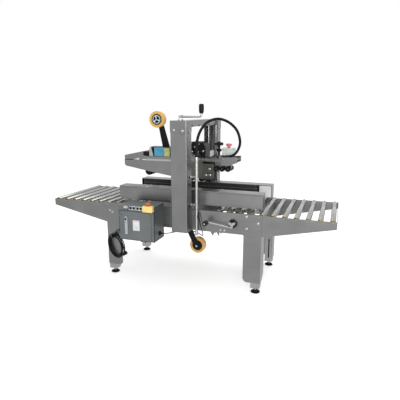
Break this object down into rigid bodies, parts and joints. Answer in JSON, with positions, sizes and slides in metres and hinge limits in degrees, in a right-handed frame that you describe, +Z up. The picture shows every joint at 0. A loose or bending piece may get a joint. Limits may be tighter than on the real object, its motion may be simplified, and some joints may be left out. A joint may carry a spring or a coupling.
{
  "type": "side belt carton sealer",
  "caption": "Side belt carton sealer: roller table with infeed and outfeed wings, taping head lifted between two columns, control box and cranks.",
  "frame": {"origin": "on the floor under the middle of the whole machine", "axes": "+X along the table from infeed to outfeed, +Y from the operator's side to the back, +Z up"},
  "size_m": [2.3146, 0.9638, 1.3903],
  "materials": {
    "stainless": "satin brushed stainless sheet",
    "zinc": "bright zinc plate",
    "steel": "machined steel",
    "belt": "matt black rubber",
    "black_rubber": "matt black rubber",
    "black_plastic": "matt black plastic",
    "black_steel": "black paint, semi gloss",
    "tape": "amber adhesive tape",
    "grey_plastic": "light grey plastic",
    "panel_blue": "blue film",
    "cord": "black cable sheath",
    "controls": "black switches"
  },
  "bodies": {
    "frame": {"front_side_frame": "stainless", "back_side_frame": "stainless", "frame_cross_members": "stainless", "leg_extensions": "zinc", "levelling_feet": "black_plastic", "left_wing_frame": "stainless", "right_wing_frame": "stainless", "bed_rollers": "zinc", "bed_centre_plates": "stainless", "front_column": "stainless", "back_column": "stainless", "cross_beam": "stainless", "column_guide_rods": "steel", "width_slide_rods": "steel", "control_box": "stainless", "box_controls": "controls", "cable_glands": "black_plastic", "power_cord_tail": "cord", "power_cord_coil": "cord", "power_plug": "cord", "box_cable": "cord", "conduit_tube": "zinc", "conduit_hose": "cord", "bottom_tape_unit": "stainless", "bottom_tape_arm": "black_steel"},
    "head": {"head_skid_plates": "stainless", "head_deck": "stainless", "head_carriage": "steel", "top_tape_unit": "stainless", "top_tape_arm": "black_steel", "head_press_rollers": "black_rubber", "head_panels": "panel_blue", "head_estop": "grey_plastic", "head_black_fittings": "black_steel"},
    "top_tape_roll": {"top_tape_roll": "tape"},
    "bottom_tape_roll": {"bottom_tape_roll": "tape"},
    "height_crank": {"height_crank": "steel", "height_crank_grip": "black_plastic"},
    "back_lifting_screw": {"back_lifting_screw": "steel"},
    "width_crank": {"width_crank": "steel", "width_crank_grip": "black_plastic"},
    "front_drive": {"front_drive_cover": "stainless", "front_drive_belt": "belt", "front_drive_frame": "steel"},
    "back_drive": {"back_drive_cover": "stainless", "back_drive_belt": "belt", "back_drive_frame": "steel"},
    "box_door": {"control_box_door": "stainless"},
    "left_wing_roller_1": {"left_wing_roller_1": "zinc"},
    "left_wing_roller_2": {"left_wing_roller_2": "zinc"},
    "left_wing_roller_3": {"left_wing_roller_3": "zinc"},
    "left_wing_roller_4": {"left_wing_roller_4": "zinc"},
    "left_wing_roller_5": {"left_wing_roller_5": "zinc"},
    "left_wing_roller_6": {"left_wing_roller_6": "zinc"},
    "right_wing_roller_1": {"right_wing_roller_1": "zinc"},
    "right_wing_roller_2": {"right_wing_roller_2": "zinc"},
    "right_wing_roller_3": {"right_wing_roller_3": "zinc"},
    "right_wing_roller_4": {"right_wing_roller_4": "zinc"},
    "right_wing_roller_5": {"right_wing_roller_5": "zinc"},
    "right_wing_roller_6": {"right_wing_roller_6": "zinc"}
  },
  "joints": [
    {"name": "height_crank_turn", "type": "hinge", "parent": "frame", "child": "height_crank", "pos_m": [0.043, -0.32125, 1.302], "axis": [0, 0, 1], "range_deg": [-3150, 10620]},
    {"name": "back_screw_turn", "type": "hinge", "parent": "frame", "child": "back_lifting_screw", "pos_m": [0.043, 0.43125, 0.86], "axis": [0, 0, 1], "range_deg": [-3150, 10620]},
    {"name": "head_height", "type": "slide", "parent": "frame", "child": "head", "axis": [0, 0, 1], "range_m": [-0.035, 0.118], "deforming": ["conduit_hose"]},
    {"name": "width_crank_turn", "type": "hinge", "parent": "frame", "child": "width_crank", "pos_m": [0.431, -0.305, 0.53], "axis": [0, -1, 0], "range_deg": [-6300, 6300]},
    {"name": "front_drive_slide", "type": "slide", "parent": "frame", "child": "front_drive", "axis": [0, 1, 0], "range_m": [-0.07, 0.07]},
    {"name": "back_drive_slide", "type": "slide", "parent": "frame", "child": "back_drive", "axis": [0, -1, 0], "range_m": [-0.07, 0.07]},
    {"name": "top_tape_roll_turn", "type": "hinge", "parent": "head", "child": "top_tape_roll", "pos_m": [-0.316, 0.055, 1.275], "axis": [0, 1, 0], "continuous": true},
    {"name": "bottom_tape_roll_turn", "type": "hinge", "parent": "frame", "child": "bottom_tape_roll", "pos_m": [0.041, 0.055, 0.219], "axis": [0, 1, 0], "continuous": true},
    {"name": "box_door_hinge", "type": "hinge", "parent": "frame", "child": "box_door", "pos_m": [-0.423, -0.4488, 0.49], "axis": [0, 0, -1], "range_deg": [0, 110]},
    {"name": "left_wing_roller_1_turn", "type": "hinge", "parent": "frame", "child": "left_wing_roller_1", "pos_m": [-0.718, 0.055, 0.597], "axis": [0, 1, 0], "continuous": true},
    {"name": "left_wing_roller_2_turn", "type": "hinge", "parent": "frame", "child": "left_wing_roller_2", "pos_m": [-0.8, 0.055, 0.597], "axis": [0, 1, 0], "continuous": true},
    {"name": "left_wing_roller_3_turn", "type": "hinge", "parent": "frame", "child": "left_wing_roller_3", "pos_m": [-0.882, 0.055, 0.597], "axis": [0, 1, 0], "continuous": true},
    {"name": "left_wing_roller_4_turn", "type": "hinge", "parent": "frame", "child": "left_wing_roller_4", "pos_m": [-0.964, 0.055, 0.597], "axis": [0, 1, 0], "continuous": true},
    {"name": "left_wing_roller_5_turn", "type": "hinge", "parent": "frame", "child": "left_wing_roller_5", "pos_m": [-1.046, 0.055, 0.597], "axis": [0, 1, 0], "continuous": true},
    {"name": "left_wing_roller_6_turn", "type": "hinge", "parent": "frame", "child": "left_wing_roller_6", "pos_m": [-1.128, 0.055, 0.597], "axis": [0, 1, 0], "continuous": true},
    {"name": "right_wing_roller_1_turn", "type": "hinge", "parent": "frame", "child": "right_wing_roller_1", "pos_m": [0.718, 0.055, 0.597], "axis": [0, 1, 0], "continuous": true},
    {"name": "right_wing_roller_2_turn", "type": "hinge", "parent": "frame", "child": "right_wing_roller_2", "pos_m": [0.8, 0.055, 0.597], "axis": [0, 1, 0], "continuous": true},
    {"name": "right_wing_roller_3_turn", "type": "hinge", "parent": "frame", "child": "right_wing_roller_3", "pos_m": [0.882, 0.055, 0.597], "axis": [0, 1, 0], "continuous": true},
    {"name": "right_wing_roller_4_turn", "type": "hinge", "parent": "frame", "child": "right_wing_roller_4", "pos_m": [0.964, 0.055, 0.597], "axis": [0, 1, 0], "continuous": true},
    {"name": "right_wing_roller_5_turn", "type": "hinge", "parent": "frame", "child": "right_wing_roller_5", "pos_m": [1.046, 0.055, 0.597], "axis": [0, 1, 0], "continuous": true},
    {"name": "right_wing_roller_6_turn", "type": "hinge", "parent": "frame", "child": "right_wing_roller_6", "pos_m": [1.128, 0.055, 0.597], "axis": [0, 1, 0], "continuous": true}
  ],
  "couplings": [
    {"joint": "back_screw_turn", "follows": "height_crank_turn", "ratio": 1},
    {"joint": "head_height", "follows": "height_crank_turn", "m_per_rad": 0.0006366},
    {"joint": "front_drive_slide", "follows": "width_crank_turn", "m_per_rad": 0.0006366},
    {"joint": "back_drive_slide", "follows": "width_crank_turn", "m_per_rad": 0.0006366}
  ]
}
